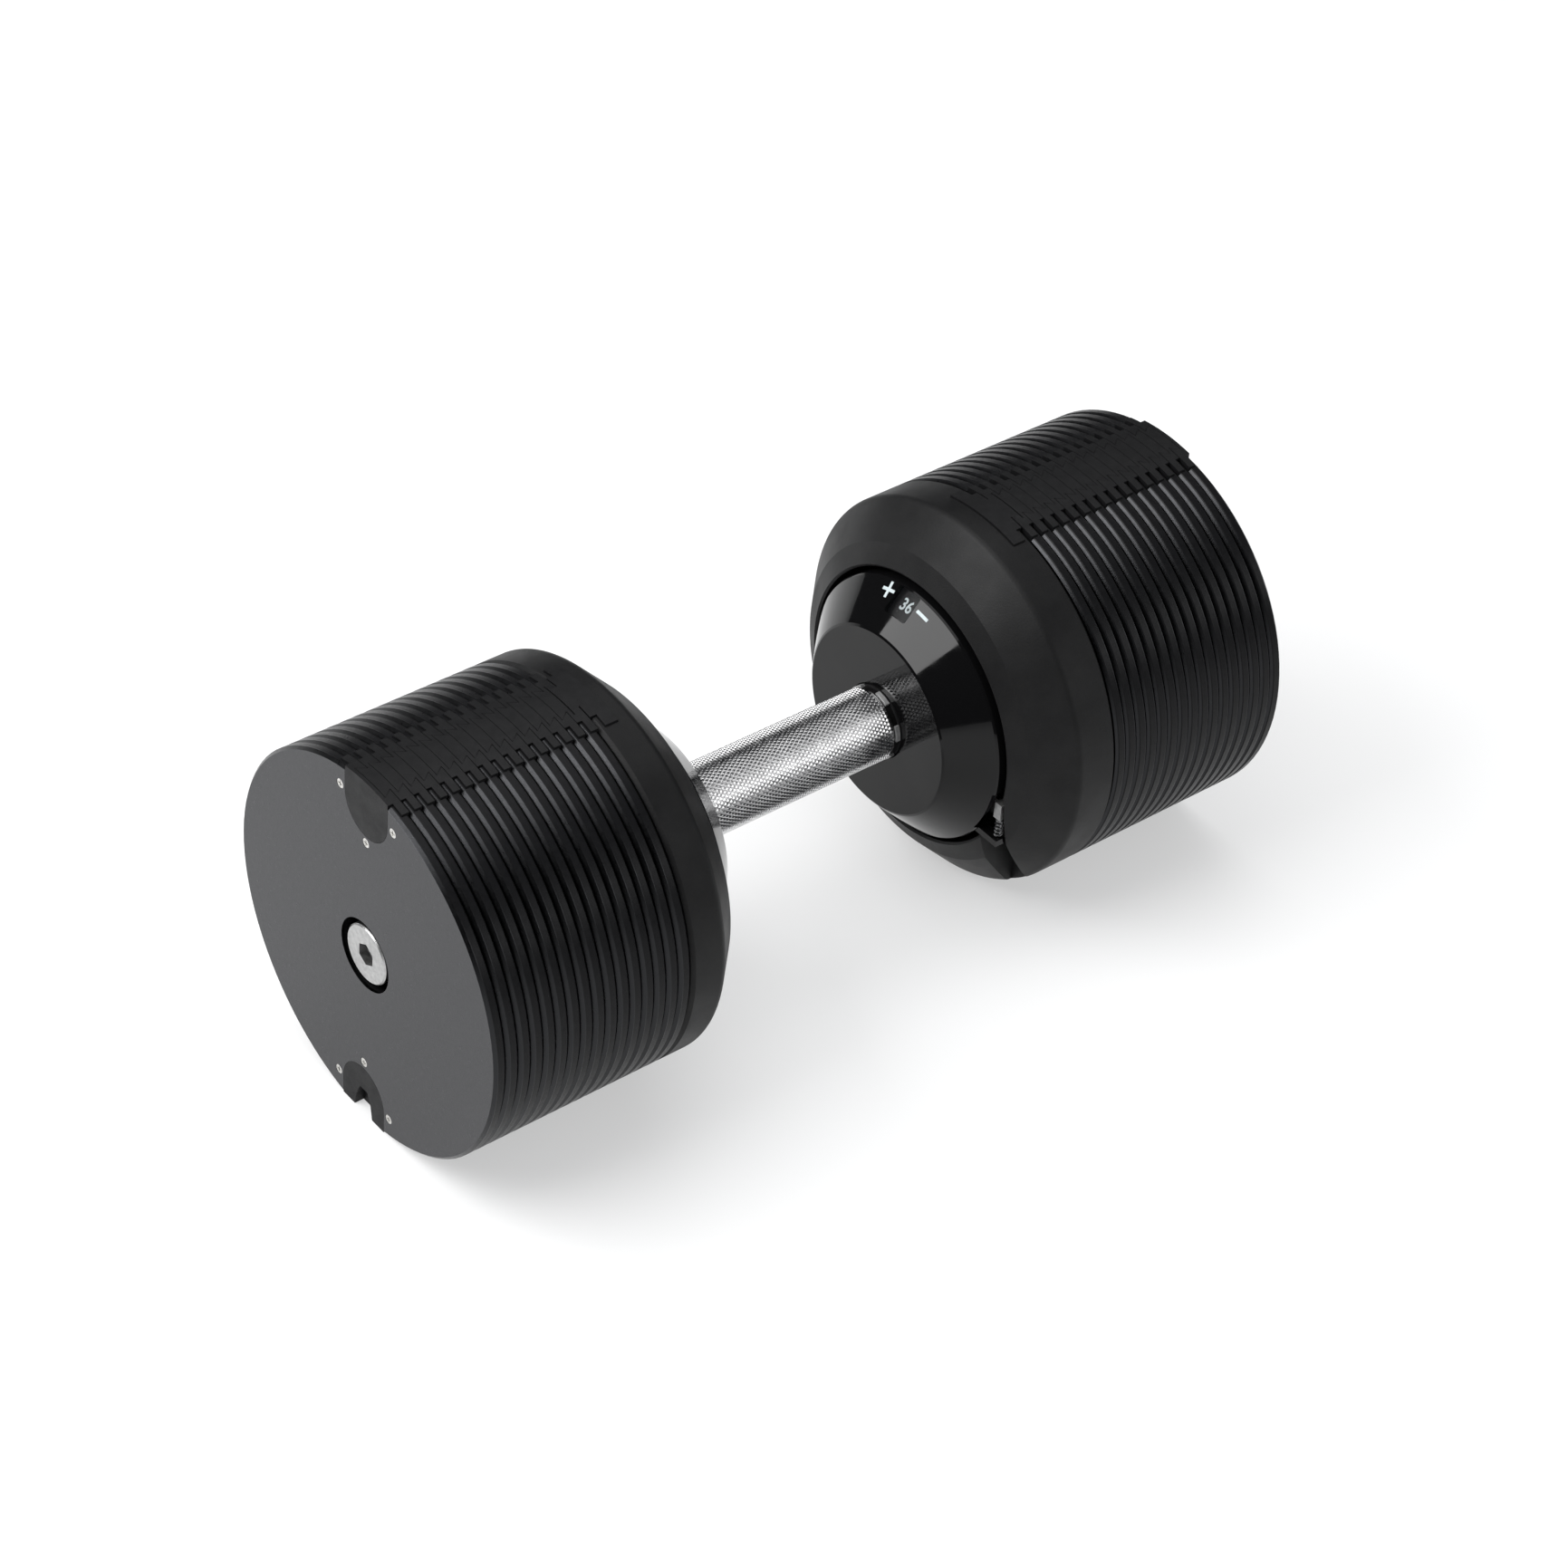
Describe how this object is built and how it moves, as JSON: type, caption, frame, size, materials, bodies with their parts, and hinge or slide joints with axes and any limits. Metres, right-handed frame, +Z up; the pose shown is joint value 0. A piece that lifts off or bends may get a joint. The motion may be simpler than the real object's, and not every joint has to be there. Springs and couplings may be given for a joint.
{
  "type": "adjustable dumbbell",
  "caption": "Adjustable dumbbell with two stacks of thin dovetailed plates, coned inner weights, dial hub and a knurled twist grip that draws in the locking rods.",
  "frame": {"origin": "on the surface it rests on, midway between the two end faces, under the grip's axis", "axes": "+X along the grip's axis towards the head whose hub has the dial window, +Z up through the plates' tongued inserts, +Y to the far side as the dial is read"},
  "size_m": [0.4042, 0.172, 0.1713],
  "materials": {
    "plate_steel": "satin blackened steel",
    "insert_plastic": "moulded, fine grain",
    "cast_weight": "matt black textured coat",
    "gloss_cover": "polished black",
    "inner_plastic": "moulded",
    "dial_plastic": "black with white numerals",
    "window_clear": "clear window",
    "grip_chrome": "diamond knurled",
    "machined_steel": "turned",
    "rod_cap_steel": "turned and polished",
    "lever_steel": "light zinc plate",
    "spring_steel": "drawn wire",
    "screw_steel": "zinc plated",
    "bush_brass": "plain bush"
  },
  "bodies": {
    "frame": {"plate_pair_01": "plate_steel", "plate_pair_02": "plate_steel", "plate_pair_03": "plate_steel", "plate_pair_04": "plate_steel", "plate_pair_05": "plate_steel", "plate_pair_06": "plate_steel", "plate_pair_07": "plate_steel", "plate_pair_08": "plate_steel", "plate_pair_09": "plate_steel", "plate_pair_10": "plate_steel", "plate_pair_11": "plate_steel", "plate_pair_12": "plate_steel", "plate_pair_13": "plate_steel", "plate_pair_14": "plate_steel", "plate_pair_15": "plate_steel", "plate_pair_16": "plate_steel", "left_top_inserts": "insert_plastic", "left_bottom_inserts": "insert_plastic", "left_insert_screws": "screw_steel", "left_inner_weight": "cast_weight", "left_hub_cover": "gloss_cover", "left_hub_base": "inner_plastic", "left_bearing": "bush_brass", "left_rod_guide": "machined_steel", "left_pivot_pin": "machined_steel", "left_lock_spring": "spring_steel", "left_hub_screws": "screw_steel", "right_top_inserts": "insert_plastic", "right_bottom_inserts": "insert_plastic", "right_insert_screws": "screw_steel", "right_inner_weight": "cast_weight", "right_hub_cover": "gloss_cover", "right_hub_base": "inner_plastic", "right_bearing": "bush_brass", "right_rod_guide": "machined_steel", "right_pivot_pin": "machined_steel", "right_lock_spring": "spring_steel", "right_hub_screws": "screw_steel", "key_bar": "machined_steel", "dial_window": "window_clear", "detent_spring": "spring_steel"},
    "grip": {"grip_sleeve": "grip_chrome", "drive_tube": "machined_steel", "drive_lugs": "machined_steel", "dial_ring": "dial_plastic", "left_lock_wheel": "machined_steel", "left_end_clip": "lever_steel", "left_end_collar": "inner_plastic", "right_lock_wheel": "machined_steel", "right_end_clip": "lever_steel", "right_end_collar": "inner_plastic"},
    "left_rod": {"left_rod": "machined_steel", "left_rod_cap": "rod_cap_steel"},
    "right_rod": {"right_rod": "machined_steel", "right_rod_cap": "rod_cap_steel"},
    "left_lever": {"left_lock_lever": "lever_steel"},
    "right_lever": {"right_lock_lever": "lever_steel"},
    "detent": {"detent_plunger": "spring_steel"}
  },
  "joints": [
    {"name": "grip_twist", "type": "hinge", "parent": "frame", "child": "grip", "pos_m": [0, 0, 0.0844], "axis": [1, 0, 0], "range_deg": [0, 320]},
    {"name": "right_rod_slide", "type": "slide", "parent": "frame", "child": "right_rod", "axis": [1, 0, 0], "range_m": [-0.093, 0]},
    {"name": "left_rod_slide", "type": "slide", "parent": "frame", "child": "left_rod", "axis": [-1, 0, 0], "range_m": [-0.093, 0]},
    {"name": "right_lock_lever_pivot", "type": "hinge", "parent": "frame", "child": "right_lever", "pos_m": [0.0811, -0.034, 0.0534], "axis": [1, 0, 0], "range_deg": [0, 3], "stiffness_Nm_per_rad": 0.6, "springref_deg": 3, "deforming": ["right_lock_spring"]},
    {"name": "left_lock_lever_pivot", "type": "hinge", "parent": "frame", "child": "left_lever", "pos_m": [-0.0811, -0.034, 0.0534], "axis": [1, 0, 0], "range_deg": [0, 3], "stiffness_Nm_per_rad": 0.6, "springref_deg": 3, "deforming": ["left_lock_spring"]},
    {"name": "detent_slide", "type": "slide", "parent": "frame", "child": "detent", "axis": [0, 0, -1], "range_m": [0, 0.0016], "stiffness_N_per_m": 800, "springref_m": 0.0016}
  ],
  "couplings": [
    {"joint": "right_rod_slide", "follows": "grip_twist", "m_per_rad": -0.016616},
    {"joint": "left_rod_slide", "follows": "grip_twist", "m_per_rad": -0.016616}
  ]
}
